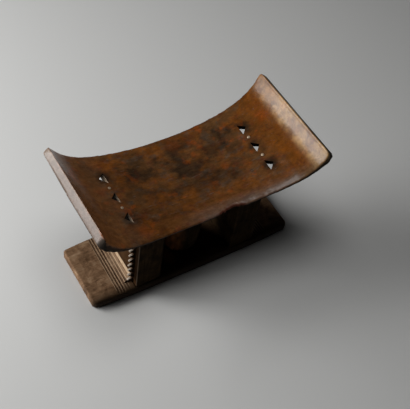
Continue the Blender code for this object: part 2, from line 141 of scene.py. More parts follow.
class StoolSeatSettings(bpy.types.PropertyGroup):
    """Sizes and colours of the seat."""

    long: length("Length", "Between the upper edges of the two ends", 0.500)
    height: length("Height", "Sitting surface in the middle", SEAT_MIDDLE)
    rise: length("Rise", "Ends above the middle", SEAT_HIGH.z - SEAT_MIDDLE)
    kick: share("End kick", "Share of the rise in the last stretch", 0.58)
    deep: length("Depth", "Front to back in the middle", 0.228)
    deep_ends: length("Depth at the ends", "Front to back, before rounding", 0.264)
    thick: length("Thickness", "Along the middle line", 0.015)
    thick_edge: length("Edge thickness", "Along the long edges", 0.008)
    thick_rim: length("Rim thickness", "At the two ends", 0.021)
    thin_rim: length("Thin rim", "Left rim at its back corner", 0.018)
    rim_lean: share("Rim lean", "Share of the end's slope that a rim follows", 0.72)
    corner_front: length("Front corners", "Radius in plan", 0.010)
    corner_back: length("Back corner", "Radius in plan", 0.0055)
    corner_back_left: length("Back left corner", "Radius of the worn corner", 0.014)
    rim_turn: length("Rim turn", "How far a rim's face turns in below", 0.0016)
    crest_in: length("Crest in", "How far the right crest is worn in", 0.0018)
    crest_run: length("Crest run", "Stretch over which it moves in", 0.020)
    lip_width: length("Lip width", "Raised lip along each end", 0.0040)
    lip_height: length("Lip height", "Lip over the dished surface", 0.0003)
    edge_band: length("Worn band", "Band worn down along the long edges", 0.016)
    edge_fall: length("Worn fall", "How far the long edges are worn down", 0.0022)
    hole_first: length("Holes from the middle", "To a triangle's inner side", 0.159)
    hole_pitch: length("Hole pitch", "Between triangles", 0.0545)
    hole_base: length("Hole base", "A triangle's inner side", 0.028)
    hole_reach: length("Hole reach", "From the inner side to the tip", 0.0145)
    hole_flare: length("Hole flare", "How much a hole opens out below", 0.0045)
    hole_lip: length("Hole lip", "Straight lip at the top of a hole", 0.0034)
    hole_undercut: length("Hole undercut", "How much the inner side leans in", 0.0068)
    hole_steep: length("Steep hole", "The same for the left back hole", 0.0005)
    chip_start: length("Chip start", "Left end of the chip in the front edge", -0.006)
    chip_deepest: length("Chip deepest", "Where the chip is deepest", 0.046)
    chip_end: length("Chip end", "Right end of the chip", 0.078)
    chip_depth: length("Chip depth", "How far the chip cuts in", 0.0080)
    grain: length("Mesh grain", "Cell of the carved surface", 0.0021)
    brown: colour("Brown", "Polished wood", (0.112, 0.051, 0.0175))
    amber: colour("Amber", "Worn blotches", (0.195, 0.060, 0.0085))
    # Painted sheen: pale colour laid in the band where the right end mirrors the low light, on wood worn
    # pale there
    pale: colour("Pale wood", "Polished pale at the right end", (0.620, 0.390, 0.160))
    # Real stains, also laid on down-facing faces and the end faces as painted shade
    stain: colour("Stain", "Dark greyish stains", (0.020, 0.0145, 0.0095))
    rust: colour("Rusty spots", "Reddish spots", (0.230, 0.055, 0.009))
    ruddy: colour("Ruddy wood", "Small reddish blotches", (0.120, 0.034, 0.014))
    veil: colour("Grey veil", "Small greyish blotches", (0.088, 0.064, 0.045))
    # Painted shade: black for the hole walls, the front left corner and the right rim's face
    soot: colour("Soot", "Hole walls and front left corner", (0.003, 0.0022, 0.0015))
    # Painted highlight: the lit sliver on the inner lips of the left holes
    lip: colour("Hole lips", "Pale cut wood", (0.520, 0.390, 0.280))
    # Painted highlight: the left rim's end face, where it mirrors the low light, on worn end grain
    chalk: colour("Chalky rim", "Greyish left rim", (0.290, 0.236, 0.190))
    # Also laid along the front edge as painted sheen
    scuff: colour("Scuffs", "Greyish scuffed wood", (0.150, 0.110, 0.088))
    bare: colour("Bare wood", "Broken wood in the chip", (0.075, 0.018, 0.008))


class StoolBaseSettings(bpy.types.PropertyGroup):
    """Sizes and colours of the base."""

    long: length("Length", "End to end", BASE_HIGH.x - BASE_LOW.x)
    deep: length("Depth", "Front to back in the middle", BASE_HIGH.y - BASE_LOW.y)
    deep_ends: length("Depth at the ends", "Front to back", 0.153)
    thick: length("Thickness", "Of the slab", 0.022)
    corner_front: length("Front corners", "Radius in plan", 0.010)
    corner_back: length("Back corners", "Radius in plan", 0.006)
    edge_round: length("Edge round", "Upper and lower edges", 0.0035)
    edge_front: length("Front edge round", "Worn front edge", 0.0070)
    sill_height: length("Sill height", "At the panel", 0.0158)
    sill_run: length("Sill run", "Width on the base", 0.021)
    knee_height: length("Knee height", "Of the sill's knee", 0.007)
    knee_run: length("Knee run", "Sill's knee from the panel", 0.007)
    sill_half: length("Sill half length", "Half, front to back", 0.0560)
    grooves: count("Grooves", "Incised lines across each end", 3)
    groove_first: length("First groove", "From the middle, in front", 0.1845)
    groove_pitch: length("Groove pitch", "Between grooves", 0.0060)
    groove_skew: length("Groove skew", "Inwards from front to back", 0.0030)
    groove_width: length("Groove width", "At the surface", 0.0044)
    groove_depth: length("Groove depth", "Below the surface", 0.0015)
    fine_width: length("Fine line width", "Lines on the sills", 0.0022)
    fine_depth: length("Fine line depth", "Lines on the sills", 0.0008)
    sill_line_places: bpy.props.FloatVectorProperty(
        name="Sill lines", description="Lines down the sill's lower slope, as shares of it", size=2,
        default=(0.464, 0.893))
    wood: colour("Wood", "Dusty upper side", (0.212, 0.122, 0.066))
    shade: colour("Shaded wood", "Darker blotches", (0.085, 0.045, 0.022))
    # Painted light: a reddish pool of light on the base at the column's foot
    rust: colour("Rusty wood", "At the column's foot", (0.300, 0.105, 0.032))
    # Dark wood in the incised furrows; also painted shade on the sides, along the front of the top and
    # between the panels
    dark: colour("Dark wood", "Sides and hollows", (0.024, 0.013, 0.006))
    worn: colour("Worn wood", "Edges and ridges", (0.380, 0.260, 0.160))
    # Painted light: the steep part of the sill, which faces the light
    bright: colour("Bright wood", "Steep part of the sill", (0.480, 0.345, 0.220))


class StoolSupportSettings(bpy.types.PropertyGroup):
    """Sizes and colours of the end panels and the centre column."""

    panel_grain: length("Panel mesh grain", "Cell of the panels", 0.0018)
    column_grain: length("Column mesh grain", "Cell of the column", 0.0020)
    tool_marks: length("Tool marks", "Depth of the carving marks", 0.00035)
    rib_inner: length("Rib inner side", "From the middle line", 0.0572)
    rib_outer: length("Rib outer side", "From the middle line", 0.0622)
    rib_round: length("Rib round", "Rounding of a rib's edges", 0.0005)
    rib_lift: length("Rib lift", "A rib's foot above its panel's", 0.0123)
    tooth_pitch: length("Tooth pitch", "Height of a tooth", 0.0170)
    tooth_tip: share("Tooth tip", "Height of the tip as a share", 0.82)
    tooth_steps: count("Tooth steps", "Points along each side of a tooth", 6)
    wood: colour("Wood", "Panels and column", (0.039, 0.0235, 0.0115))
    dark: colour("Dark wood", "Hollows and stains", (0.012, 0.008, 0.005))
    # Painted highlight: the pale colour of the teeth's upper faces and the panels' upright corners, where
    # light falls
    worn: colour("Worn wood", "Tips and edges", (0.400, 0.345, 0.285))
    # Painted shade: black on the panels' outer faces under the seat and beside the ribs
    soot: colour("Soot", "Black under the seat", (0.0010, 0.0008, 0.0006))
    # Painted light on the column's lower left side; a faint tint on the panels' outer faces
    rust: colour("Rusty wood", "Rubbed bare on the column", (0.300, 0.105, 0.032))


class StoolTackSettings(bpy.types.PropertyGroup):
    """Sizes and colours of the tacks."""

    radius: length("Head radius", "Of a tack's head", 0.0034)
    height: length("Head height", "Of a tack's dome", 0.0013)
    sunk: length("Sunk", "How deep the rim is driven in", 0.0004)
    steps: count("Steps", "Facets round a head", 32)
    metal: colour("Metal", "Bright worn metal", (0.460, 0.360, 0.250))
    dull: colour("Dull metal", "Tarnish", (0.230, 0.165, 0.105))


class StoolStageSettings(bpy.types.PropertyGroup):
    """Floor, light and camera."""

    floor_size: length("Floor size", "Side of the square floor", 9.0)
    floor: colour("Floor", "Colour of the floor", (0.52, 0.52, 0.51))
    world: colour("Surroundings", "Dim room light", (0.004, 0.004, 0.004))
    low_place: place("Low light", "Soft light that the polish mirrors", (-1.78, 0.88, 0.66))
    low_width: length("Low light width", "Of the soft light", 1.5)
    low_height: length("Low light height", "Of the soft light", 0.95)
    low_power: share("Low light power", "In watts", 41.0)
    high_place: place("High light", "Light on the left, above", (-1.45, 1.35, 1.50))
    high_size: length("High light size", "Side of the square light", 1.0)
    high_power: share("High light power", "In watts", 28.0)
    top_place: place("Top light", "Light overhead", (-0.10, 0.06, 2.00))
    top_size: length("Top light size", "Side of the square light", 1.00)
    top_power: share("Top light power", "In watts", 13.5)
    aim: place("Camera aim", "Point in the middle of the picture", (0.04795, -0.0131, 0.125))
    distance: length("Camera distance", "From its aim", 1.8525)
    azimuth: angle("Camera azimuth", "Direction round the stool", -38.57)
    elevation: angle("Camera elevation", "Above the horizon", 50.94)
    roll: angle("Camera roll", "About its own axis", 10.29)
    lens: share("Lens", "Focal length in millimetres on a 36 mm sensor", 75.65)


def corner_loss(distance_to_end, radius):
    """How far a rounded corner draws an edge in at this distance from the end."""
    short = min(max(radius - distance_to_end, 0.0), radius)
    return radius - sqrt(radius**2 - short**2)


def ease(value):
    """Smooth step from 0 to 1."""
    value = min(max(value, 0.0), 1.0)
    return value * value * (3 - 2 * value)


def after(value, start, run):
    """0 up to a start, 1 from a run past it."""
    return ease((value - start) / run)


def near(distance, reach, core=0.2):
    """1 within a core, given as a share of the reach, and 0 from one reach past it."""
    return ease(1 + core - distance / reach)


def roughen(point, size, seed=0.0):
    """Soft noise from -1 to 1 whose lumps are about size across."""
    return noise.noise(Vector(point) / size + Vector((seed, seed * 1.7, seed * 0.6)))


class SeatForm:
    """The seat's upper and lower surfaces as formulas of the place in plan."""

    SIZES = ("height", "rise", "kick", "deep", "deep_ends", "corner_front", "corner_back",
             "corner_back_left", "thick", "thick_edge", "thick_rim", "thin_rim", "rim_lean",
             "edge_band", "edge_fall", "crest_in", "crest_run")

    def __init__(self, seat):
        self.half = seat.long / 2
        for name in self.SIZES:
            setattr(self, name, getattr(seat, name))

    def along(self, x):
        return min(abs(x) / self.half, 1.0)

    def top(self, x):
        u = self.along(x)
        return self.height + self.rise * ((1 - self.kick) * u**2 + self.kick * u**8)

    def lean(self, x):
        u = self.along(x)
        return atan(self.rise / self.half * ((1 - self.kick) * 2 * u + self.kick * 8 * u**7))

    def half_depth(self, x, y):
        """Depth from the middle line to the front edge, or to the back edge where y is positive."""
        flare = (self.deep_ends - self.deep) * self.along(x) ** 2
        corner = self.corner_front
        if y > 0:
            corner = self.corner_back if x > 0 else self.corner_back_left
        return (self.deep + flare) / 2 - corner_loss(self.half - abs(x), corner)

    def to_edge(self, point):
        """Distance of a point from the nearest long edge."""
        return self.half_depth(point.x, point.y) - abs(point.y)

    def from_front(self, point):
        """Distance of a point from the front edge."""
        return point.y + self.half_depth(point.x, -1)

    def thickness(self, x, y):
        rim = self.along(x) ** 6
        thick_rim = self.thick_rim
        if x < 0:
            thick_rim += (self.thin_rim - self.thick_rim) * ease(y / (self.deep_ends / 2))
        middle = self.thick + (thick_rim - self.thick) * rim
        edge = self.thick_edge + (thick_rim - self.thick_edge) * rim
        return middle - (middle - edge) * (abs(y) / self.half_depth(x, y)) ** 4

    def upper(self, x, y):
        """Point on the sitting surface, worn down a little along the long edges."""
        into_band = max(1 - (self.half_depth(x, y) - abs(y)) / self.edge_band, 0.0)
        crest = self.crest_in * ease(1 - (self.half - x) / self.crest_run)
        return Vector((x - crest, y, self.top(x) - self.edge_fall * into_band**2))

    def lower(self, x, y):
        """Point on the underside."""
        side = 1 if x >= 0 else -1
        lean = self.rim_lean * self.lean(x)
        depth = self.thickness(x, y)
        return Vector((x + side * depth * sin(lean), y, self.top(x) - depth * cos(lean)))

    def down_rim(self, side):
        """Direction from a rim's upper edge to its lower edge."""
        lean = self.rim_lean * self.lean(self.half)
        return Vector((side * sin(lean), 0, -cos(lean)))

    def stand(self, x, y):
        """Matrix that stands a piece square on the sitting surface."""
        side = 1 if x >= 0 else -1
        turn = Matrix.Rotation(-side * self.lean(x), 4, "Y")
        return Matrix.Translation((x, y, self.top(x))) @ turn


def outward(bm):
    """Turns all faces of a new closed mesh outwards."""
    bmesh.ops.recalc_face_normals(bm, faces=bm.faces)
    return bm


def new_object(name, bm):
    """Links an object that holds the finished mesh builder."""
    mesh = bpy.data.meshes.new(name)
    bm.to_mesh(mesh)
    bm.free()
    obj = bpy.data.objects.new(name, mesh)
    bpy.context.scene.collection.objects.link(obj)
    return obj


def merged_copy(bm, node_name):
    """Adds a frame node's triangles to a mesh builder, joined into one closed skin."""
    bm.from_mesh(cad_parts[node_name].data)
    bmesh.ops.remove_doubles(bm, verts=bm.verts, dist=MERGE_DISTANCE)


def apply_modifiers(obj):
    """Replaces an object's mesh by what its modifiers make of it."""
    bpy.context.view_layer.update()
    graph = bpy.context.evaluated_depsgraph_get()
    shaped = bpy.data.meshes.new_from_object(obj.evaluated_get(graph))
    plain = obj.data
    obj.modifiers.clear()
    obj.data = shaped
    bpy.data.meshes.remove(plain)


def combine(obj, other, operation):
    """Joins or cuts an object with another one, which is then removed."""
    boolean = obj.modifiers.new(operation.lower(), "BOOLEAN")
    boolean.operation = operation
    boolean.solver = "EXACT"
    boolean.object = other
    apply_modifiers(obj)
    bpy.data.objects.remove(other)


def cut_sockets(obj):
    """Cuts out the room that the panels and the column take, tenons and all."""
    bm = bmesh.new()
    for node in ("end_panel_left", "end_panel_right", "centre_column"):
        merged_copy(bm, node)
    combine(obj, new_object("sockets", bm), "DIFFERENCE")


def regrain(obj, cell, passes):
    """Covers an object in an even skin of small cells and softens its edges."""
    remesh = obj.modifiers.new("grain", "REMESH")
    remesh.mode = "VOXEL"
    remesh.voxel_size = cell
    apply_modifiers(obj)
    bm = bmesh.new()
    bm.from_mesh(obj.data)
    for _ in range(passes):
        bmesh.ops.smooth_vert(bm, verts=bm.verts, factor=0.5, use_axis_x=True, use_axis_y=True,
                              use_axis_z=True)
    bm.to_mesh(obj.data)
    bm.free()


def carve(obj, move):
    """Moves every vertex by what the given function says of its place and its normal."""
    mesh = obj.data
    moves = [move(vertex.co, vertex.normal) for vertex in mesh.vertices]
    for vertex, step in zip(mesh.vertices, moves):
        vertex.co += step
    mesh.update()


def mark(obj, *values):
    """Stores numbers for every vertex for the material to read, each under its function's name."""
    mesh = obj.data
    for value in values:
        layer = mesh.attributes.new(value.__name__, "FLOAT", "POINT")
        for index, vertex in enumerate(mesh.vertices):
            layer.data[index].value = value(vertex.co)


def dress(obj, material, slot, *nodes):
    """Finishes a piece: smooth shading, its material, its body and what it replaces. The slot is not used.
    """
    if obj.data.materials.find(material.name) < 0:
        obj.data.materials.clear()
        obj.data.materials.append(material)
    obj.data.shade_smooth()
    obj.data.set_sharp_from_angle(angle=SMOOTH_ANGLE)
    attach(obj, BODY)
    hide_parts(*nodes)


class Recipe:
    """Short way to add and join the nodes of one material."""

    def __init__(self, name):
        self.material = bpy.data.materials.new(name)
        self.material.use_nodes = True
        self.tree = self.material.node_tree
        self.shader = self.tree.nodes["Principled BSDF"]
        self.where = self.node("TexCoord").outputs["Object"]

    def node(self, kind):
        return self.tree.nodes.new(f"ShaderNode{kind}")

    def put(self, value, socket):
        """Joins a socket to another one, or writes a constant on it."""
        if isinstance(value, bpy.types.NodeSocket):
            self.tree.links.new(value, socket)
        elif socket.type == "RGBA":
            socket.default_value = (*value, 1.0)
        else:
            socket.default_value = value

    def lumps(self, size, stretch=(1, 1, 1), detail=4.0, rough=0.55, twist=0.0, shift=0.0):
        """Noise whose lumps are about size across, drawn out where stretch is below 1."""
        mapping, texture = self.node("Mapping"), self.node("TexNoise")
        self.put(self.where, mapping.inputs["Vector"])
        self.put(stretch, mapping.inputs["Scale"])
        self.put((shift, shift, shift), mapping.inputs["Location"])
        settings = {"Vector": mapping.outputs[0], "Scale": 1 / size, "Detail": detail,
                    "Roughness": rough, "Distortion": twist}
        for name, value in settings.items():
            self.put(value, texture.inputs[name])
        return texture.outputs[0]

    def ramp(self, value, *stops):
        """Colour ramp with stops of (place, colour)."""
        node = self.node("ValToRGB")
        elements = node.color_ramp.elements
        while len(elements) < len(stops):
            elements.new(1.0)
        for element, (position, tint) in zip(elements, stops):
            element.position = position
            element.color = (*tint, 1.0)
        self.put(value, node.inputs[0])
        return node.outputs[0]

    def span(self, value, low, high, to_low=0.0, to_high=1.0):
        """Stretches a range of values to another one, smoothly and with clamped ends."""
        node = self.node("MapRange")
        node.interpolation_type = "SMOOTHSTEP"
        for socket, number in zip(node.inputs[1:5], (low, high, to_low, to_high)):
            socket.default_value = number
        self.put(value, node.inputs[0])
        return node.outputs[0]

    def reckon(self, operation, *values):
        """One arithmetic step."""
        node = self.node("Math")
        node.operation = operation
        for value, socket in zip(values, node.inputs):
            self.put(value, socket)
        return node.outputs[0]

    def times(self, first, second):
        return self.reckon("MULTIPLY", first, second)

    def mix(self, how_much, under, over, mode="MIX"):
        """Lays one colour over another."""
        node = self.node("Mix")
        node.data_type = "RGBA"
        node.blend_type = mode
        for index, value in ((0, how_much), (6, under), (7, over)):
            self.put(value, node.inputs[index])
        return node.outputs[2]

    def part(self, vector, name):
        """One coordinate of a vector."""
        node = self.node("SeparateXYZ")
        self.put(vector, node.inputs[0])
        return node.outputs[name]

    def axis(self, name):
        """One coordinate of the place on the piece."""
        return self.part(self.where, name)

    def facing(self, name):
        """One coordinate of the surface's direction."""
        return self.part(self.node("NewGeometry").outputs["Normal"], name)

    def size_of(self, value):
        return self.reckon("ABSOLUTE", value)

    def stored(self, name, most=1.0):
        """A number stored on the mesh, scaled to the most that is wanted."""
        node = self.node("Attribute")
        node.attribute_name = name
        value = node.outputs["Fac"]
        return value if most == 1.0 else self.times(value, most)

    def bump(self, height, depth, under=None):
        """Surface relief of the given depth."""
        node = self.node("Bump")
        node.inputs["Strength"].default_value = 1.0
        node.inputs["Distance"].default_value = depth
        self.put(height, node.inputs["Height"])
        if under is not None:
            self.put(under, node.inputs["Normal"])
        return node.outputs[0]

    def set(self, **sockets):
        """Writes or joins the shader's sockets and gives back the material."""
        for name, value in sockets.items():
            self.put(value, self.shader.inputs[name.replace("_", " ")])
        return self.material


def seat_material(seat):
    """Dark polished patina with amber wear, rusty spots and grey stains; painted sheen as a pale band at the
    right end and along the front edge, a painted highlight on the left rim, and painted shade on the
    undersides, the right rim's face and the front left corner.
    """
    wood = Recipe("polished seat wood")
    drawn_out = (0.8, 1, 1)
    fibres = wood.lumps(0.0045, (0.10, 1, 1), detail=6.0, rough=0.65)
    pores = wood.lumps(0.0016, (0.20, 1, 1), detail=2.0, shift=0.4)
    mottle = wood.lumps(0.0120, (0.75, 1, 1), detail=7.0, rough=0.68, shift=2.1)
    blotches = wood.lumps(0.052, drawn_out, detail=5.0, twist=0.3)
    glows = wood.lumps(0.036, drawn_out, detail=6.0, rough=0.58, shift=0.83)
    spots = wood.lumps(0.024, detail=3.0, rough=0.5, shift=1.73)
    clouds = wood.lumps(0.042, drawn_out, detail=5.0, rough=0.56, shift=0.27)
    flush = wood.lumps(0.017, drawn_out, detail=6.0, rough=0.66, shift=3.31)
    veil = wood.lumps(0.021, drawn_out, detail=6.0, rough=0.66, shift=4.57)
    scratches = wood.lumps(0.0032, (0.07, 1, 1), detail=3.0, rough=0.5, twist=0.2, shift=5.2)
    deepen, lighten = (0.80, 0.70, 0.36), (1.28, 1.26, 1.02)
    mottle_shade, fibre_shade, rim_highlight_mottle = (0.40, 0.38, 0.36), (0.42, 0.36, 0.30), (0.52, 0.47, 0.42)
    pore_black = (0.010, 0.006, 0.004)

    tint = wood.ramp(blotches, (0.28, seat.stain), (0.46, seat.brown), (0.58, seat.brown),
                     (0.76, seat.amber))
    tint = wood.mix(wood.stored("handled", 0.65), tint, seat.amber)
    tint = wood.mix(wood.span(glows, 0.44, 0.72, 0.0, 0.80), tint, seat.amber)
    tint = wood.mix(wood.span(spots, 0.58, 0.72, 0.0, 0.85), tint, seat.rust)
    tint = wood.mix(wood.span(flush, 0.50, 0.68, 0.0, 0.70), tint, seat.ruddy)
    dusty = wood.span(wood.stored("handled"), 0.2, 1.0, 0.65, 0.15)
    tint = wood.mix(wood.times(wood.span(veil, 0.50, 0.68), dusty), tint, seat.veil)
    tint = wood.mix(wood.stored("glowing", 0.60), tint, seat.rust)
    # Greyish scuffs, and along the front edge a streaky painted sheen that widens the edge's reflection
    tint = wood.mix(wood.stored("scuffed", 0.55), tint, seat.scuff)
    grime = wood.times(wood.span(clouds, 0.40, 0.58, 0.05, 1.0), wood.stored("grimy"))
    tint = wood.mix(wood.times(grime, 0.85), tint, seat.stain)
    at_right = wood.span(wood.axis("X"), 0.150, 0.205, 0.0, 0.75)
    at_left = wood.span(wood.axis("X"), -0.215, -0.160, 1.0, 0.0)
    tint = wood.mix(at_right, tint, deepen, "MULTIPLY")
    tint = wood.mix(at_left, tint, lighten, "MULTIPLY")
    # Painted sheen: a pale band at the right end, set where the end mirrors the low light, over wood
    # polished pale
    polish = wood.times(wood.stored("polished"), wood.span(glows, 0.36, 0.62, 0.10, 0.55))
    tint = wood.mix(polish, tint, seat.pale)
    tint = wood.mix(wood.span(mottle, 0.34, 0.68, 0.60, 0.0), tint, mottle_shade, "MULTIPLY")
    tint = wood.mix(wood.span(fibres, 0.35, 0.65, 0.0, 0.25), tint, fibre_shade, "MULTIPLY")
    tint = wood.mix(wood.span(pores, 0.60, 0.70, 0.0, 0.40), tint, pore_black)
    tint = wood.mix(wood.span(scratches, 0.66, 0.76, 0.0, 0.45), tint, seat.scuff)
    # Painted shade: faces that look down, and the places of painted shade, are darkened with stain; they are
    # also made rough
    under = wood.span(wood.facing("Z"), -0.1, 0.5, 1.0, 0.0)
    dry = wood.reckon("MAXIMUM", under, wood.stored("dirty"))
    tint = wood.mix(wood.times(dry, 0.9), tint, seat.stain)
    # Painted shade: black on the front left corner of the left rim and on the right rim's outer face
    tint = wood.mix(wood.stored("dirty"), tint, seat.soot)
    # Painted shade: end faces darkened with stain; on the left rim it is mostly covered by the painted
    # highlight
    tint = wood.mix(wood.stored("face", 0.7), tint, seat.stain)
    # Painted highlight on the left rim's end face, strongest at the back and along the crest
    chalk = wood.mix(wood.span(mottle, 0.36, 0.60, 0.75, 0.0), seat.chalk, rim_highlight_mottle, "MULTIPLY")
    tint = wood.mix(wood.stored("rim"), tint, chalk)
    tint = wood.mix(wood.stored("rubbed", 0.75), tint, seat.rust)
    tint = wood.mix(wood.stored("broken"), tint, seat.bare)

    dry = wood.reckon("MAXIMUM", dry, wood.stored("broken"))
    gloss = wood.reckon("ADD", wood.span(blotches, 0.30, 0.72, 0.15, 0.23), wood.stored("dull"))
    gloss = wood.reckon("ADD", gloss, wood.times(dry, 0.8))
    relief = wood.bump(fibres, 0.00012, wood.bump(mottle, 0.00006, wood.bump(pores, 0.00005)))
    return wood.set(Base_Color=tint, Roughness=gloss, Normal=relief, Specular_IOR_Level=0.30)


def hole_material(seat):
    """Hole walls painted black as shade over dark stain, with a painted highlight of pale wood on the lit
    inner lips of the left holes.
    """
    wood = Recipe("sooty hole wood")
    crust = wood.lumps(0.0040)
    tint = wood.ramp(crust, (0.35, seat.soot), (0.80, seat.stain))
    # Painted highlight on the lit inner lips of the left holes
    tint = wood.mix(wood.stored("lipped"), tint, seat.lip)
    return wood.set(Base_Color=tint, Roughness=wood.span(crust, 0.3, 0.7, 0.75, 0.92),
                    Specular_IOR_Level=0.02, Normal=wood.bump(crust, 0.0002))


def base_lines(wood, base):
    """Where the ridges and the furrows of the incised lines run, as shares for mixing."""
    drift = base.groove_skew / (BASE_HIGH.y - BASE_LOW.y)
    start = base.groove_skew / 2 - base.groove_first
    along = wood.reckon("MULTIPLY_ADD", wood.axis("Y"), drift, start)
    turns = wood.reckon("ADD", wood.size_of(wood.axis("X")), along)
    turns = wood.reckon("DIVIDE", turns, -base.groove_pitch)
    wave = wood.reckon("COSINE", wood.times(turns, 2 * pi))
    last = (base.groove_first - PANEL_HIGH.x) / base.groove_pitch + 1.0
    zone = wood.times(wood.span(turns, -0.8, -0.4), wood.span(turns, last - 0.3, last, 1.0, 0.0))
    ridges = wood.times(zone, wood.span(wave, -1.0, -0.55, 1.0, 0.0))
    furrows = wood.times(zone, wood.span(wave, -0.6, 0.5, 0.25, 0.55))
    return ridges, furrows


def base_material(base):
    """Matt dusty wood, scuffed on top, with painted light on the steep part of each sill, a painted pool of
    light at the column's foot, and painted shade on its front and back sides, along the front of the top and
    between the panels.
    """
    wood = Recipe("dusty base wood")
    fibres = wood.lumps(0.0040, (0.08, 1, 1), detail=6.0, rough=0.65)
    blotches = wood.lumps(0.022, detail=5.0, rough=0.62, twist=0.3)
    scuffs = wood.lumps(0.006, (0.35, 1, 1), rough=0.7, shift=0.6)
    fibre_shade = (0.36, 0.31, 0.26)
    # Painted light on the steep part of each sill, which faces the light from the left
    slope = wood.span(wood.size_of(wood.facing("X")), 0.55, 0.75)
    sill = wood.times(slope, wood.stored("sill"))
    tint = wood.ramp(blotches, (0.33, base.shade), (0.54, base.wood), (0.80, base.worn))
    tint = wood.mix(sill, tint, base.bright)
    tint = wood.mix(wood.span(fibres, 0.38, 0.66, 0.0, 0.40), tint, fibre_shade, "MULTIPLY")
    tint = wood.mix(wood.span(scuffs, 0.60, 0.74, 0.0, 0.25), tint, base.worn)
    ridges, furrows = base_lines(wood, base)
    tint = wood.mix(furrows, tint, base.dark)
    tint = wood.mix(ridges, tint, base.worn)
    # Painted shade: the front and back sides, the front of the top and the top between the panels, where the
    # seat's shadow falls
    upright = wood.reckon("SUBTRACT", wood.span(wood.facing("Z"), 0.55, 0.92, 1.0, 0.0), sill)
    not_end = wood.span(wood.size_of(wood.facing("X")), 0.3, 0.6, 1.0, 0.0)
    front = wood.span(wood.axis("Y"), -0.079, -0.048, 1.0, 0.0)
    inside = wood.span(wood.size_of(wood.axis("X")), 0.135, 0.150, 0.9, 0.0)
    shady = wood.reckon("MAXIMUM", front, inside)
    shady = wood.reckon("MAXIMUM", wood.times(upright, not_end), shady)
    tint = wood.mix(shady, tint, base.dark)
    # Painted light: a reddish pool of light at the column's foot
    tint = wood.mix(wood.stored("foot"), tint, base.rust)
    relief = wood.bump(fibres, 0.0005, wood.bump(scuffs, 0.0004))
    return wood.set(Base_Color=tint, Roughness=wood.span(blotches, 0.3, 0.7, 0.62, 0.82),
                    Normal=relief, Specular_IOR_Level=0.12)


def support_material(support):
    """Dark dry wood with upright tool marks, a painted highlight on the teeth's upper faces and the upright
    corners, painted shade under the seat and beside the ribs, and painted light low on the column.
    """
    wood = Recipe("dark support wood")
    strokes = wood.lumps(0.0050, (1, 1, 0.10), detail=5.0, rough=0.6)
    blotches = wood.lumps(0.028, detail=5.0, rough=0.6, shift=0.3)
    stroke_shade = (0.30, 0.26, 0.22)
    tint = wood.ramp(blotches, (0.32, support.dark), (0.60, support.wood))
    tint = wood.mix(wood.span(strokes, 0.38, 0.64, 0.0, 0.45), tint, stroke_shade, "MULTIPLY")
    # Painted highlight on the upward faces of the teeth
    lit = wood.times(wood.stored("tip"), wood.span(wood.facing("Z"), 0.55, 0.90))
    tint = wood.mix(lit, tint, support.worn)
    # Painted highlight along the panels' upright corners
    tint = wood.mix(wood.stored("edge", 0.50), tint, support.worn)
    # Painted light low on the column's left side, and a faint tint on the panels' outer faces
    tint = wood.mix(wood.stored("rubbed"), tint, support.rust)
    # Painted shade in black under the seat and beside the ribs
    tint = wood.mix(wood.stored("shade"), tint, support.soot)
    return wood.set(Base_Color=tint, Roughness=wood.span(blotches, 0.3, 0.7, 0.62, 0.80),
                    Normal=wood.bump(strokes, 0.0006), Specular_IOR_Level=0.01)


def tack_material(tack):
    """Dull worn metal with spots of tarnish."""
    metal = Recipe("worn tack metal")
    spots = metal.lumps(0.0022, rough=0.6)
    tint = metal.ramp(spots, (0.38, tack.dull), (0.62, tack.metal))
    return metal.set(Base_Color=tint, Metallic=0.35, Normal=metal.bump(spots, 0.0002),
                     Roughness=metal.span(spots, 0.3, 0.7, 0.55, 0.38))


def floor_material(stage):
    """Plain pale matt floor."""
    sheet = Recipe("plain floor")
    floor = Vector(stage.floor)
    tint = sheet.ramp(sheet.lumps(1.4, detail=2.0), (0.3, floor * 0.98), (0.7, floor))
    return sheet.set(Base_Color=tint, Roughness=0.9)


def slab(stations, rows, half_depth, upper, lower):
    """Closed slab from a grid, with each grid point sent to a place above and one below."""
    bm = bmesh.new()
    columns = len(stations) - 1
    bmesh.ops.create_grid(bm, x_segments=columns, y_segments=rows, size=1.0)
    extruded = bmesh.ops.extrude_face_region(bm, geom=bm.faces[:])
    top = {item for item in extruded["geom"] if isinstance(item, bmesh.types.BMVert)}
    for vert in bm.verts:
        x = stations[round((vert.co.x + 1) / 2 * columns)]
        y = half_depth(x, vert.co.y) * sin(pi / 2 * vert.co.y)
        vert.co = upper(x, y) if vert in top else lower(x, y)
    return outward(bm)


def stations_to(half_length, steps):
    """Places along X from end to end, closer together near the ends."""
    return [half_length * sin(pi / 2 * i / steps) for i in range(-steps, steps + 1)]


def prism(bm, ring, step):
    """Adds a prism: a ring of points, drawn along a step."""
    face = bm.faces.new([bm.verts.new(point) for point in ring])
    extruded = bmesh.ops.extrude_face_region(bm, geom=[face])
    moved = [item for item in extruded["geom"] if isinstance(item, bmesh.types.BMVert)]
    bmesh.ops.translate(bm, vec=step, verts=moved)


def groove(bm, start, end, normal, width, depth):
    """Adds a cutter for a V-shaped groove on a surface between two points."""
    start, end, normal = Vector(start), Vector(end), Vector(normal).normalized()
    across = (end - start).cross(normal).normalized()
    half = width / 2 * (depth + GROOVE_LIFT) / depth
    ring = [start - normal * depth, start + normal * GROOVE_LIFT + across * half,
            start + normal * GROOVE_LIFT - across * half]
    prism(bm, ring, end - start)


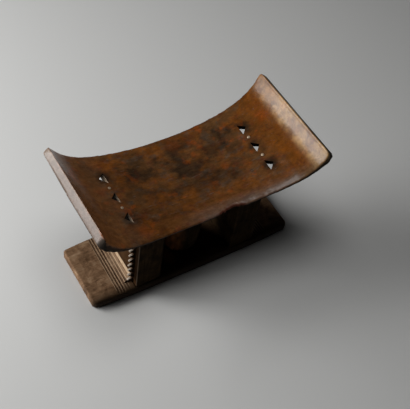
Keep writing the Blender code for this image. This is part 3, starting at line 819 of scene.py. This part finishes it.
def hole_cutters(seat, form):
    """Six flared triangles that pierce the seat and point to its ends."""
    bm = bmesh.new()
    flare = seat.hole_flare / seat.thick
    heights = (seat.thick, -seat.hole_lip, -2 * seat.thick)
    for _, end in SIDES:
        for row in ROWS:
            lean_in = (seat.hole_steep if row > 0 > end else seat.hole_undercut) / seat.thick
            rings = []
            for height in heights:
                spread = -flare * height
                half = seat.hole_base / 2 + spread
                inner = lean_in * min(height + seat.hole_lip, 0.0)
                ring = [(inner, half), (inner, -half), (seat.hole_reach + spread, 0)]
                rings.append([bm.verts.new((end * x, y, height)) for x, y in ring])
            caps = [bm.faces.new(rings[0]), bm.faces.new(rings[-1])]
            middle = [bm.edges.new((rings[1][i - 1], rings[1][i])) for i in range(len(rings[1]))]
            for cap in caps:
                bmesh.ops.bridge_loops(bm, edges=list(cap.edges) + middle)
            verts = [vert for ring in rings for vert in ring]
            spot = form.stand(end * seat.hole_first, row * seat.hole_pitch)
            bmesh.ops.transform(bm, matrix=spot, verts=verts)
    return new_object("hole cutters", outward(bm))


def chip_bite(seat, x):
    """Depth of the ragged chip in the front edge at x."""
    if not seat.chip_start < x < seat.chip_end:
        return 0.0
    if x < seat.chip_deepest:
        reach = (x - seat.chip_start) / (seat.chip_deepest - seat.chip_start)
    else:
        reach = (seat.chip_end - x) / (seat.chip_end - seat.chip_deepest)
    mean, jag, jag_size = 0.80, 0.55, 0.0055
    return seat.chip_depth * ease(reach) * (mean + jag * roughen((x, 0, 0), jag_size))


class STOOL_OT_seat(bpy.types.Operator):
    """Carve the dished seat with its triangles and worn edges"""

    bl_idname = "stool.seat"
    bl_label = "Seat"

    def execute(self, context):
        seat = context.scene.stool_seat
        form = SeatForm(seat)
        blank = slab(stations_to(form.half, SEAT_STEPS), SEAT_ROWS, form.half_depth, form.upper,
                     form.lower)
        obj = new_object("carved_seat", blank)
        cut_sockets(obj)
        regrain(obj, seat.grain, 3)
        self.wear(obj, seat, form)
        # The second material paints the hole walls black as shade
        wood, soot = seat_material(seat), hole_material(seat)
        cutters = hole_cutters(seat, form)
        for cut in (obj, cutters):
            cut.data.materials.clear()
            cut.data.materials.append(wood)
            cut.data.materials.append(soot)
        for wall in cutters.data.polygons:
            wall.material_index = 1
        combine(obj, cutters, "DIFFERENCE")
        self.patina(obj, seat, form)
        dress(obj, wood, "seat_wood", "seat")
        return {"FINISHED"}

    def wear(self, obj, seat, form):
        """Hand-carved unevenness, a lip along each end, nicked edges and the chip in front."""
        broad_dip, broad_size = 0.00030, 0.040
        small_dip, small_size = 0.00012, 0.011
        nick_depth, nick_size, edge_reach = 0.0006, 0.009, 0.020
        lip_start, lip_step, lip_fade = form.half - seat.lip_width, 0.0012, 0.040

        def move(point, normal):
            near_edge = near(form.to_edge(point), edge_reach, core=0)
            dip = (broad_dip * (1 + roughen(point, broad_size))
                   + small_dip * (1 + roughen(point, small_size, 3.0)))
            nick = nick_depth * near_edge * max(roughen(point, nick_size, 7.0), 0.0)
            step = -normal * (dip + nick)
            from_lip = lip_start - abs(point.x)
            if normal.z > 0 and point.x * normal.x < 0:
                step -= normal * seat.lip_height * ease(from_lip / lip_step) * ease(1 - from_lip / lip_fade)
            if point.y < 0:
                step.y += near_edge * chip_bite(seat, point.x)
            return step + self.rim_move(point, normal, seat, form)

        carve(obj, move)

    def rim_move(self, point, normal, seat, form):
        """Turns in the lower part of a rim's face."""
        turn_start, rim_margin, facing_out = 0.35, 0.002, 0.5
        side = 1 if point.x > 0 else -1
        down = form.down_rim(side)
        out = Vector((-down.z, 0, down.x)) * side
        crest = Vector((side * form.half, point.y, form.top(form.half)))
        if normal.dot(out) < facing_out or abs(point.x) < form.half - rim_margin:
            return Vector()
        below = (point - crest).dot(down) / seat.thick_rim
        return -out * seat.rim_turn * max((below - turn_start) / (1 - turn_start), 0.0) ** 2

    def patina(self, obj, seat, form):
        """Marks where the wood is broken, rubbed, polished and dull, where painted sheen lies on the right
        end and the front edge, where painted shade lies on the right rim's face and the front left corner,
        where the painted highlight lies on the left rim and the left holes' lips, and where it is scuffed
        and grimy.
        """
        crest = form.top(form.half)
        corner = Vector((-form.half, -form.half_depth(form.half, -1), crest))
        hole_middle = seat.hole_first + seat.hole_reach / 3
        holes = [form.stand(end * hole_middle, row * seat.hole_pitch).translation
                 for _, end in SIDES for row in ROWS]

        def broken(point):
            bite = chip_bite(seat, point.x)
            return ease(bite / 0.0015) * near(form.from_front(point) - bite, 0.005, core=0.3)

        def rubbed(point):
            return near(crest - point.z, 0.003, core=0.5) * near((point - corner).length, 0.022, core=0.3)

        # Painted shade on the left rim's front corner and the right rim's outer face, which face away from
        # the light
        def dirty(point):
            at_corner = 0.85 * after(-point.y, 0.1135, 0.008) if point.x < -form.half + 0.001 else 0.0
            at_right = after(point.x, form.half + 0.0005, 0.001) * (0.15 + 0.5 * after(-point.y, 0.02, 0.08))
            return max(at_corner, at_right)

        # Painted highlight on the front half of each left hole's inner lip, where the light from the left
        # falls
        def lipped(point):
            if point.x > 0:
                return 0.0
            hole = min(holes, key=lambda spot: (point - spot).length)
            at_inner_side = after(point.x, -seat.hole_first - 0.006, 0.003)
            in_lip = after(point.z, form.top(point.x) - seat.hole_lip - 0.003, 0.0015)
            return at_inner_side * in_lip * after(hole.y + 0.003, point.y, 0.004)

        def near_front(point):
            return near(form.from_front(point), 0.030)

        # Scuffs on the left end; along the front edge the same mark is a streaky painted sheen
        def scuffed(point):
            streaks = 0.9 + 0.7 * roughen((point.x / 3, point.y, 0), 0.010, 9.0)
            at_front = near_front(point) * after(point.x, -0.09, 0.10) * streaks
            return max(0.34 * after(-point.x, 0.13, 0.06), at_front)

        def grimy(point):
            from_hole = min((point - hole).length for hole in holes)
            from_middle = hypot(point.x / 0.16, (point.y - 0.030) / 0.095)
            return max(near(from_hole, 0.016, core=0.5), 0.9 * near(from_middle, 1, core=0.25))

        def glowing(point):
            core = 0.3 + 0.5 * roughen(point, 0.012, 11.0)
            return max(near(hypot(point.x - x, point.y - y), size, core) for x, y, size in SEAT_GLOWS)

        def handled(point):
            at_ends = after(abs(point.x), 0.14, 0.09) * (1.0 if point.x < 0 else 0.85)
            return max(at_ends, 0.5 * after(-point.y, 0.02, 0.07))

        # Painted sheen: the pale band at the right end where it mirrors the low light; the wood there is
        # also polished pale
        def polished(point):
            return after(point.x, 0.220, 0.011) * (1 - 0.6 * after(point.y, 0.01, 0.09))

        def dull(point):
            at_right = (0.05 + 0.06 * after(point.y, 0.02, 0.08)) * after(point.x, 0.222, 0.012)
            return 0.08 * after(-point.x, 0.15, 0.05) + max(at_right, 0.04 * near_front(point))

        # Both end faces; the material lays painted shade on them
        def face(point):
            return after(abs(point.x), form.half, 0.0015)

        # Where the painted highlight lies on the left rim's face: more at the back and near the crest
        def rim(point):
            on_face = after(-point.x, form.half - 0.0004, 0.0012) * (1 - dirty(point))
            at_back, at_crest = after(point.y, 0.04, 0.08), near(crest - point.z, 0.006)
            return on_face * (0.16 + 0.22 * at_back + 0.20 * at_crest)

        mark(obj, broken, rubbed, dirty, lipped, scuffed, grimy, glowing, handled, polished, dull, face, rim)


class STOOL_OT_base(bpy.types.Operator):
    """Carve the flat base with its sills and incised lines"""

    bl_idname = "stool.base"
    bl_label = "Base"

    def execute(self, context):
        base = context.scene.stool_base
        obj = new_object("carved_base", self.plank(base))
        for _, side in SIDES:
            combine(obj, new_object("sill", self.sill(base, side)), "UNION")
        combine(obj, new_object("base lines", self.lines(base)), "DIFFERENCE")
        combine(obj, new_object("sill lines", self.sill_lines(base)), "DIFFERENCE")
        cut_sockets(obj)

        def sill(point):
            return after(point.z, base.thick + 0.004, 0.003) * after(abs(point.x), PANEL_FACE - 0.001, 0.001)

        # Painted light: where the pool of light at the column's foot lies
        def foot(point):
            return near(hypot((point.x + 0.047) / 0.014, (point.y + 0.036) / 0.022), 1, core=0.4)

        mark(obj, sill, foot)
        dress(obj, base_material(base), "base_wood", "base")
        return {"FINISHED"}

    def plank(self, base):
        """Slab with bowed sides, worn round edges and an uneven top."""
        half = base.long / 2
        broad_dip, broad_size = 0.0003, 0.030
        small_dip, small_size = 0.00015, 0.010

        def half_depth(x, y):
            bow = (base.deep - base.deep_ends) * (abs(x) / half) ** 4
            corner = base.corner_back if y > 0 else base.corner_front
            return (base.deep - bow) / 2 - corner_loss(half - abs(x), corner)

        def edge_drop(x, y):
            worn = base.edge_front if y < 0 else base.edge_round
            at_side = corner_loss(half_depth(x, y) - abs(y), worn)
            return max(at_side, corner_loss(half - abs(x), base.edge_round))

        def upper(x, y):
            uneven = (broad_dip * (roughen((x, y, 0), broad_size) - 1)
                      + small_dip * roughen((x, y, 0), small_size, 4.0))
            return Vector((x, y, base.thick - edge_drop(x, y) + uneven))

        def lower(x, y):
            return Vector((x, y, edge_drop(x, y)))

        return slab(stations_to(half, BASE_STEPS), BASE_ROWS, half_depth, upper, lower)

    def sill(self, base, side):
        """Sloping sill along a panel's outer foot, with a steep upper and a flat lower part."""
        bm = bmesh.new()
        buried, crest = base.thick / 2, base.thick + base.sill_height
        slope = (base.sill_run - base.knee_run) / base.knee_height
        foot = PANEL_FACE + base.sill_run + slope * (base.thick - buried)
        knee = (PANEL_FACE + base.knee_run, base.thick + base.knee_height)
        inner = PANEL_FACE - SILL_BURIED
        outline = [(inner, buried), (foot, buried), knee, (PANEL_FACE, crest), (inner, crest)]
        ring = [(side * x, -base.sill_half, z) for x, z in outline]
        prism(bm, ring, (0, 2 * base.sill_half, 0))
        return outward(bm)

    def lines(self, base):
        """Cutters for the incised lines at both ends and for one old knife scar."""
        bm = bmesh.new()
        up = (0, 0, 1)
        for _, side in SIDES:
            for i in range(base.grooves):
                x = base.groove_first - i * base.groove_pitch
                start = (side * x, BASE_LOW.y - LINE_OVERCUT, base.thick)
                end = (side * (x - base.groove_skew), BASE_HIGH.y + LINE_OVERCUT, base.thick)
                groove(bm, start, end, up, base.groove_width, base.groove_depth)
        groove(bm, (*SCAR_START, base.thick), (*SCAR_END, base.thick), up, SCAR_WIDTH, SCAR_DEPTH)
        return outward(bm)

    def sill_lines(self, base):
        """Cutters for the lines along the flat lower part and the steep upper part of each sill."""
        bm = bmesh.new()
        knee = PANEL_FACE + base.knee_run
        run = base.sill_run - base.knee_run
        steep = base.sill_height - base.knee_height
        reach = base.sill_half + SILL_OVERCUT
        places = [(knee + run * part, base.thick + base.knee_height * (1 - part), base.knee_height, run)
                  for part in base.sill_line_places]
        steep_middle = base.thick + (base.knee_height + base.sill_height) / 2
        places.append((knee - base.knee_run / 2, steep_middle, steep, base.knee_run))
        for _, side in SIDES:
            for x, z, fall, out in places:
                start, end = (side * x, -reach, z), (side * x, reach, z)
                groove(bm, start, end, (side * fall, 0, out), base.fine_width, base.fine_depth)
        return outward(bm)


class STOOL_OT_supports(bpy.types.Operator):
    """Carve the serrated end panels and the centre column"""

    bl_idname = "stool.supports"
    bl_label = "Panels and column"

    def execute(self, context):
        support = context.scene.stool_support
        form = SeatForm(context.scene.stool_seat)
        material = support_material(support)
        for name, side in SIDES:
            obj = self.panel(support, form, name, side)
            dress(obj, material, "support_wood", f"end_panel_{name}")
        dress(self.column(support), material, "support_wood", "centre_column")
        return {"FINISHED"}

    def column(self, support):
        """The column, tool-marked, with painted light low on its left side."""
        bm = bmesh.new()
        merged_copy(bm, "centre_column")
        obj = new_object("carved_centre_column", bm)
        regrain(obj, support.column_grain, 3)
        self.tool(obj, support.tool_marks)

        # Painted light low on the column's left side
        def rubbed(point):
            streaks = 0.7 + 0.8 * roughen((point.x, point.y, point.z / 3), 0.008, 2.0)
            return 0.8 * after(-point.x, 0.008, 0.030) * after(-point.z, -0.140, 0.090) * streaks

        mark(obj, rubbed)
        return obj

    def panel(self, support, form, name, side):
        """A panel's body cut free of the frame's ribs, with rounder hand-carved ribs put back."""
        bm = bmesh.new()
        merged_copy(bm, f"end_panel_{name}")
        everything = bm.verts[:] + bm.edges[:] + bm.faces[:]
        cut = bmesh.ops.bisect_plane(bm, geom=everything, plane_no=(side, 0, 0), clear_outer=True,
                                     plane_co=(side * (PANEL_FACE - MERGE_DISTANCE), 0, 0))
        rim = [item for item in cut["geom_cut"] if isinstance(item, bmesh.types.BMEdge)]
        bmesh.ops.holes_fill(bm, edges=rim)
        obj = new_object(f"carved_end_panel_{name}", bm)
        regrain(obj, support.panel_grain, 2)
        self.tool(obj, support.tool_marks)
        ribs = new_object("ribs", self.ribs(support, side))
        combine(ribs, new_object("seat space", self.seat_space(form)), "DIFFERENCE")
        combine(obj, ribs, "UNION")

        def on_face(point):
            return after(abs(point.x), PANEL_FACE - 0.002, 0.001)

        # Where the teeth stand out; the material lays a painted highlight on their upward faces
        def tip(point):
            return after(abs(point.x), PANEL_FACE + 0.0035, 0.005)

        def shade(point):
            outside_rib = after(abs(point.y), support.rib_outer - 0.001, 0.001)
            inside_corner = after(-abs(point.y), 0.0012 - PANEL_HIGH.y, 0.0012)
            beside_rib = 0.75 * after(point.z, 0.036, 0.008) * outside_rib * inside_corner
            return on_face(point) * max(after(point.z, 0.125, 0.075), beside_rib)

        # Upright corners of the panels, which get a painted highlight
        def edge(point):
            return near(hypot(abs(point.x) - PANEL_FACE, abs(point.y) - PANEL_HIGH.y), 0.0022)

        def rubbed(point):
            return 0.07 * on_face(point)

        mark(obj, tip, shade, edge, rubbed)
        return obj

    def seat_space(self, form):
        """Block above the seat's underside, with a small gap, that keeps the ribs below the seat."""
        gap = Vector((0, 0, SEAT_GAP))
        roof = SEAT_HIGH.z + SEAT_SPACE_OVER
        return slab(stations_to(form.half, SEAT_SPACE_STEPS), SEAT_SPACE_ROWS, form.half_depth,
                    lambda x, y: Vector((x, y, roof)), lambda x, y: form.lower(x, y) - gap)

    def ribs(self, support, side):
        """Two ribs of round-tipped teeth, each flat on top and sloping in below."""
        bm = bmesh.new()
        bottom, pitch = PANEL_LOW.z + support.rib_lift, support.tooth_pitch
        teeth = int((SEAT_HIGH.z - bottom) / pitch)
        outline = [(PANEL_FACE - RIB_BURIED, bottom)]
        for tooth in range(teeth):
            uneven = 1 - TOOTH_UNEVEN * abs(roughen((tooth, side, 0), TOOTH_VARIETY))
            for phase, reach in self.tooth(support):
                out = RIB_WEB + (RIB_PROJECTION - RIB_WEB) * reach * uneven
                outline.append((PANEL_FACE + out, bottom + (tooth + phase) * pitch))
        outline.append((PANEL_FACE - RIB_BURIED, bottom + teeth * pitch))
        for row in (-1, 1):
            low, high = sorted((row * support.rib_inner, row * support.rib_outer))
            prism(bm, [(side * x, low, z) for x, z in outline], (0, high - low, 0))
        outward(bm)
        caps = [edge for edge in bm.edges
                if abs(edge.verts[0].co.y - edge.verts[1].co.y) < MERGE_DISTANCE]
        bmesh.ops.bevel(bm, geom=caps, offset=support.rib_round, segments=2, profile=0.5,
                        affect="EDGES", material=-1)
        return bm

    def tooth(self, support):
        """Outline of a tooth as (height, reach): hollow below, round-nosed, nearly level on top."""
        hollow, nose = 1.4, 0.6
        steps, tip = support.tooth_steps, support.tooth_tip
        under = [(tip * i / steps, (i / steps) ** hollow) for i in range(steps)]
        over = [(tip + (1 - tip) * (i / steps) ** nose, 1 - i / steps) for i in range(steps)]
        return under + over

    def tool(self, obj, depth):
        """Leaves upright strokes of a carving tool."""
        stroke_width, stroke_length, lump_size = 0.007, 0.045, 0.030

        def move(point, normal):
            stroke = roughen((point.x / stroke_width, point.y / stroke_width, point.z / stroke_length), 1.0)
            lump = roughen(point, lump_size, 5.0)
            return -normal * depth * (1 + 0.5 * stroke + 0.5 * lump)

        carve(obj, move)


class STOOL_OT_tacks(bpy.types.Operator):
    """Turn the domed tacks between the triangles"""

    bl_idname = "stool.tacks"
    bl_label = "Tacks"

    def execute(self, context):
        tack, seat = context.scene.stool_tack, context.scene.stool_seat
        form = SeatForm(seat)
        material = tack_material(tack)
        x = seat.hole_first + seat.hole_reach / 3
        places = [(end * x, row * seat.hole_pitch / 2) for _, end in SIDES for row in (-1, 1)]
        for index, spot in enumerate(places, 1):
            bm = self.dome(tack)
            bmesh.ops.transform(bm, matrix=form.stand(*spot), verts=bm.verts)
            obj = new_object(f"turned_tack_{index}", bm)
            dress(obj, material, "tack_brass", f"seat_tack_{index}")
        return {"FINISHED"}

    def dome(self, tack):
        """Dome over a thin driven-in rim, spun from its profile."""
        bm = bmesh.new()
        turns = [pi / 2 * i / TACK_ARC_STEPS for i in range(TACK_ARC_STEPS + 1)]
        points = [(tack.radius * sin(turn), 0, tack.height * cos(turn)) for turn in turns]
        points += [(tack.radius, 0, -tack.sunk), (0, 0, -tack.sunk)]
        profile = [bm.verts.new(point) for point in points]
        edges = [bm.edges.new(pair) for pair in zip(profile, profile[1:])]
        bmesh.ops.spin(bm, geom=profile + edges, cent=(0, 0, 0), axis=(0, 0, 1), angle=2 * pi,
                       steps=tack.steps, use_merge=True)
        bmesh.ops.remove_doubles(bm, verts=bm.verts, dist=MERGE_DISTANCE)
        return outward(bm)


class STOOL_OT_stage(bpy.types.Operator):
    """Set up the floor, the soft lights and the camera"""

    bl_idname = "stool.stage"
    bl_label = "Stage"

    def execute(self, context):
        scene, stage = context.scene, context.scene.stool_stage
        scene.view_settings.view_transform = "Standard"
        self.floor(stage)
        self.world(scene, stage)
        aim = Vector(stage.aim)
        self.light("low light", stage.low_place, aim, stage.low_width, stage.low_height, stage.low_power)
        fill = self.light("high light", stage.high_place, aim, stage.high_size, stage.high_size,
                          stage.high_power)
        fill.visible_glossy = False
        self.light("top light", stage.top_place, aim, stage.top_size, stage.top_size, stage.top_power)
        self.camera(scene, stage, aim)
        return {"FINISHED"}

    def floor(self, stage):
        bm = bmesh.new()
        bmesh.ops.create_grid(bm, x_segments=4, y_segments=4, size=stage.floor_size / 2)
        bmesh.ops.translate(bm, vec=(0, 0, CAD_BOX[0].z), verts=bm.verts)
        floor = new_object("floor", bm)
        floor.data.materials.append(floor_material(stage))

    def world(self, scene, stage):
        scene.world = bpy.data.worlds.new("dim room")
        scene.world.use_nodes = True
        background = scene.world.node_tree.nodes["Background"]
        background.inputs["Color"].default_value = (*stage.world, 1.0)

    def light(self, name, position, aim, width, height, power):
        lamp = bpy.data.lights.new(name, "AREA")
        lamp.shape = "RECTANGLE"
        lamp.size, lamp.size_y, lamp.energy = width, height, power
        obj = bpy.data.objects.new(name, lamp)
        obj.location = position
        obj.rotation_euler = (Vector(position) - aim).to_track_quat("Z", "Y").to_euler()
        bpy.context.scene.collection.objects.link(obj)
        return obj

    def camera(self, scene, stage, aim):
        level = cos(stage.elevation)
        back = Vector((sin(stage.azimuth) * level, -cos(stage.azimuth) * level, sin(stage.elevation)))
        right = Vector((0, 0, 1)).cross(back).normalized()
        up = back.cross(right)
        turned_right = right * cos(stage.roll) + up * sin(stage.roll)
        turned_up = up * cos(stage.roll) - right * sin(stage.roll)
        lens = bpy.data.cameras.new("camera")
        lens.lens = stage.lens
        obj = bpy.data.objects.new("camera", lens)
        turn = Matrix((turned_right, turned_up, back)).transposed().to_4x4()
        obj.matrix_world = Matrix.Translation(aim + back * stage.distance) @ turn
        scene.collection.objects.link(obj)
        scene.camera = obj


class STOOL_PT_panel(bpy.types.Panel):
    """Lists the pieces of the stool in the order they are made"""

    bl_idname = "STOOL_PT_panel"
    bl_label = "Carved stool"
    bl_space_type = "VIEW_3D"
    bl_region_type = "UI"
    bl_category = "Stool"

    def draw(self, context):
        for operator in OPERATORS:
            self.layout.operator(operator.bl_idname)


OPERATORS = (STOOL_OT_seat, STOOL_OT_base, STOOL_OT_supports, STOOL_OT_tacks, STOOL_OT_stage)
SETTINGS = {
    "stool_seat": StoolSeatSettings,
    "stool_base": StoolBaseSettings,
    "stool_support": StoolSupportSettings,
    "stool_tack": StoolTackSettings,
    "stool_stage": StoolStageSettings,
}
CLASSES = (*SETTINGS.values(), *OPERATORS, STOOL_PT_panel)


def register():
    for cls in CLASSES:
        bpy.utils.register_class(cls)
    for name, cls in SETTINGS.items():
        setattr(bpy.types.Scene, name, bpy.props.PointerProperty(type=cls))


def unregister():
    for name in SETTINGS:
        delattr(bpy.types.Scene, name)
    for cls in reversed(CLASSES):
        bpy.utils.unregister_class(cls)


def main():
    register()
    bpy.ops.stool.seat()
    bpy.ops.stool.base()
    bpy.ops.stool.supports()
    bpy.ops.stool.tacks()
    bpy.ops.stool.stage()
    bpy.context.view_layer.update()


if __name__ == "__main__":
    main()
